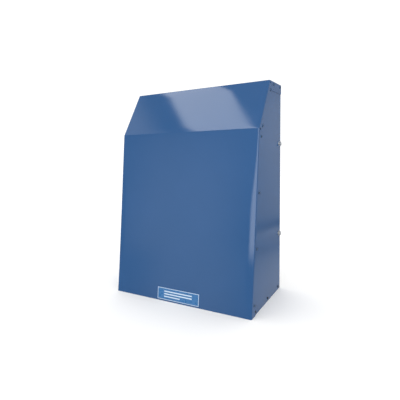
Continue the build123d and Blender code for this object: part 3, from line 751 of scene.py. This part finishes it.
class Surround(Shader):
    """Far grey walls round the studio. Azimuth runs from -Y towards -X, both angles in degrees."""

    def __init__(self):
        super().__init__("studio_surround")
        place = self.node("ShaderNodeVectorMath", operation="NORMALIZE")
        self.link(self.place.outputs["Object"], place.inputs[0])
        axes = self.node("ShaderNodeSeparateXYZ")
        self.link(place.outputs["Vector"], axes.inputs[0])
        left = self.math("MULTIPLY", axes.outputs["X"], -1.0)
        out = self.math("MULTIPLY", axes.outputs["Y"], -1.0)
        self.azimuth = self.math("DEGREES", self.math("ARCTAN2", left, out))
        self.elevation = self.math("DEGREES", self.math("ARCSINE", axes.outputs["Z"]))
        self.behind = self.math("ABSOLUTE", self.azimuth)

    def math(self, operation, first, second=None):
        made = self.node("ShaderNodeMath", operation=operation)
        for socket, value in zip(made.inputs, (first, second)):
            if isinstance(value, (int, float)):
                socket.default_value = value
            elif value is not None:
                self.link(value, socket)
        return made.outputs[0]

    def rise(self, source, low, high):
        made = self.node("ShaderNodeMapRange", interpolation_type="SMOOTHSTEP")
        made.inputs["From Min"].default_value = low
        made.inputs["From Max"].default_value = high
        self.link(source, made.inputs["Value"])
        return made.outputs["Result"]

    def window(self, source, low, full, fading, gone):
        """0 outside, 1 between `full` and `fading`."""
        up = self.rise(source, low, full)
        down = self.rise(source, fading, gone)
        return self.math("SUBTRACT", up, down)

    def patch(self, level, azimuths, elevations):
        """Soft-edged bright area of the surround."""
        across = self.window(self.azimuth, *azimuths)
        along = self.window(self.elevation, *elevations)
        return self.math("MULTIPLY", self.math("MULTIPLY", across, along), level)

    def behind_wall(self):
        """Grey levels behind the hood, by elevation, with a dark ledge 12 degrees down."""
        ramp = self.node("ShaderNodeValToRGB")
        stops = ramp.color_ramp.elements
        while len(stops) < len(WALL_LEVELS):
            stops.new(0.5)
        for stop, (elevation, level) in zip(stops, WALL_LEVELS):
            stop.position = (elevation - RAMP_LOW) / (RAMP_HIGH - RAMP_LOW)
            stop.color = (*[level - AMBIENT] * 3, 1)
        scaled = self.node("ShaderNodeMapRange")
        scaled.inputs["From Min"].default_value = RAMP_LOW
        scaled.inputs["From Max"].default_value = RAMP_HIGH
        turn = self.math("SUBTRACT", self.behind, SIDE_MIRROR)
        turn = self.math("MAXIMUM", self.math("MINIMUM", turn, TILT_REACH), -TILT_REACH)
        tilt = self.math("MULTIPLY", turn, LEDGE_TILT)
        tilted = self.math("SUBTRACT", self.elevation, tilt)
        self.link(tilted, scaled.inputs["Value"])
        self.link(scaled.outputs["Result"], ramp.inputs["Fac"])
        near = self.rise(self.behind, 100, 150)
        full = self.rise(self.behind, 156.0, 162.5)
        near_part = self.math("MULTIPLY", near, NEAR_SHARE)
        full_part = self.math("MULTIPLY", full, FULL_SHARE)
        share = self.math("ADD", near_part, full_part)
        return self.math("MULTIPLY", ramp.outputs["Color"], share)


def studio_surround():
    s = Surround()
    patches = [
        # in front, mirrored by the front sheet
        s.patch(0.54, (18, 27, 33, 43), (-6, -1, 4, 28)),
        s.patch(0.50, (17, 25, 31, 38), (-40, -26, -6, -1)),
        # up on the left, mirrored by the slope
        s.patch(0.72, (52, 66, 120, 150), (28, 36, 49, 53.5)),
        s.patch(0.10, (30, 50, 120, 150), (62, 68, 84, 90)),
        # behind, mirrored by the right side sheet
        s.behind_wall(),
        # to the right, seen only from other sides
        s.patch(0.45, (-120, -100, -60, -30), (-20, 10, 60, 80)),
    ]
    total = s.math("ADD", patches[0], AMBIENT)
    for patch in patches[1:]:
        total = s.math("ADD", total, patch)
    glowing = s.node("ShaderNodeEmission")
    s.link(total, glowing.inputs["Strength"])
    s.link(glowing.outputs["Emission"], s.tree.nodes["Material Output"].inputs["Surface"])
    s.material.cycles.emission_sampling = "NONE"
    ball = bmesh.new()
    bmesh.ops.create_uvsphere(ball, u_segments=48, v_segments=24, radius=FAR)
    mesh = bpy.data.meshes.new("studio_surround")
    ball.to_mesh(mesh)
    ball.free()
    mesh.materials.append(s.material)
    surround = bpy.data.objects.new("studio_surround", mesh)
    bpy.context.scene.collection.objects.link(surround)
    only_in_reflections(surround)


def white_room():
    """White world, a little weaker from the right and from in front."""
    world = bpy.data.worlds.new("white_room")
    bpy.context.scene.world = world
    world.use_nodes = True
    tree = world.node_tree
    sky = tree.nodes["Background"]
    place = tree.nodes.new("ShaderNodeTexCoord")
    axes = tree.nodes.new("ShaderNodeSeparateXYZ")
    tree.links.new(place.outputs["Generated"], axes.inputs[0])
    strength = None
    for axis, low, high, from_level, to_level in (
        ("X", 0.10, 0.70, 1.14, 0.80),
        ("Y", -0.60, -0.10, -0.20, 0.0),
        ("Z", 0.35, 0.90, 0.0, 0.50),
    ):
        part = tree.nodes.new("ShaderNodeMapRange")
        limits = {"From Min": low, "From Max": high, "To Min": from_level, "To Max": to_level}
        for key, value in limits.items():
            part.inputs[key].default_value = value
        tree.links.new(axes.outputs[axis], part.inputs["Value"])
        if strength is None:
            strength = part.outputs["Result"]
        else:
            added = tree.nodes.new("ShaderNodeMath")
            tree.links.new(strength, added.inputs[0])
            tree.links.new(part.outputs["Result"], added.inputs[1])
            strength = added.outputs[0]
    tree.links.new(strength, sky.inputs["Strength"])
    sky.inputs["Color"].default_value = (1.0, 1.0, 1.0, 1)


FLOOR_HALF = 6.0


def pale_floor():
    mesh = bpy.data.meshes.new("floor")
    square = ((-1, -1), (1, -1), (1, 1), (-1, 1))
    corners = [(FLOOR_HALF * x, FLOOR_HALF * y, BASE) for x, y in square]
    mesh.from_pydata(corners, [], [(0, 1, 2, 3)])
    floor = bpy.data.objects.new("floor", mesh)
    bpy.context.scene.collection.objects.link(floor)
    s = Shader("pale_floor")
    s.link(s.blend(s.spread(s.noise(2.0), 0.0, 1.0), (0.93, 0.93, 0.93), (0.96, 0.96, 0.96)),
           s.surface.inputs["Base Color"])
    s.surface.inputs["Roughness"].default_value = 0.8
    mesh.materials.append(s.material)
    floor.visible_glossy = False


OVERHEAD_HEIGHT = 1.8
OVERHEAD_CORNERS = ((-1.203, -0.15), (-0.650, -0.15), (0.111, -1.8), (-0.632, -1.8))
CARD_OUT = 3.0  # from the right fold of the front to the front softbox
CARD_LEFT, CARD_RIGHT, CARD_LOW, CARD_HIGH = 18.5, -38.0, -7.0, 40.0  # seen from that fold
CARD_MIDDLE = (0.25, -0.25)


def card_corner(azimuth, elevation):
    """Corner of the front softbox, at two angles in degrees from the fold it lights."""
    turn, lift = math.radians(azimuth), math.radians(elevation)
    return (
        CARD_MIDDLE[0] - CARD_OUT * math.sin(turn),
        CARD_MIDDLE[1] - CARD_OUT * math.cos(turn),
        CARD_OUT * math.tan(lift),
    )


white_room()
pale_floor()
studio_surround()
reflected_card(
    "overhead_softbox", [(x, y, OVERHEAD_HEIGHT) for x, y in OVERHEAD_CORNERS],
    3.45, (0.14, 0.04, 0.0, 0.0))
reflected_card("front_softbox", [
    card_corner(CARD_LEFT, CARD_LOW), card_corner(CARD_RIGHT, CARD_LOW),
    card_corner(CARD_RIGHT, CARD_HIGH), card_corner(CARD_LEFT, CARD_HIGH),
], 3.0, (0.10, 0.10, 0.06, 0.10))
soft_light("key_light", (0.5, 0.5), (0.45, -1.35, 0.30), (0.05, -0.25, 0.0), 1.6)
bpy.context.scene.view_settings.view_transform = "Standard"
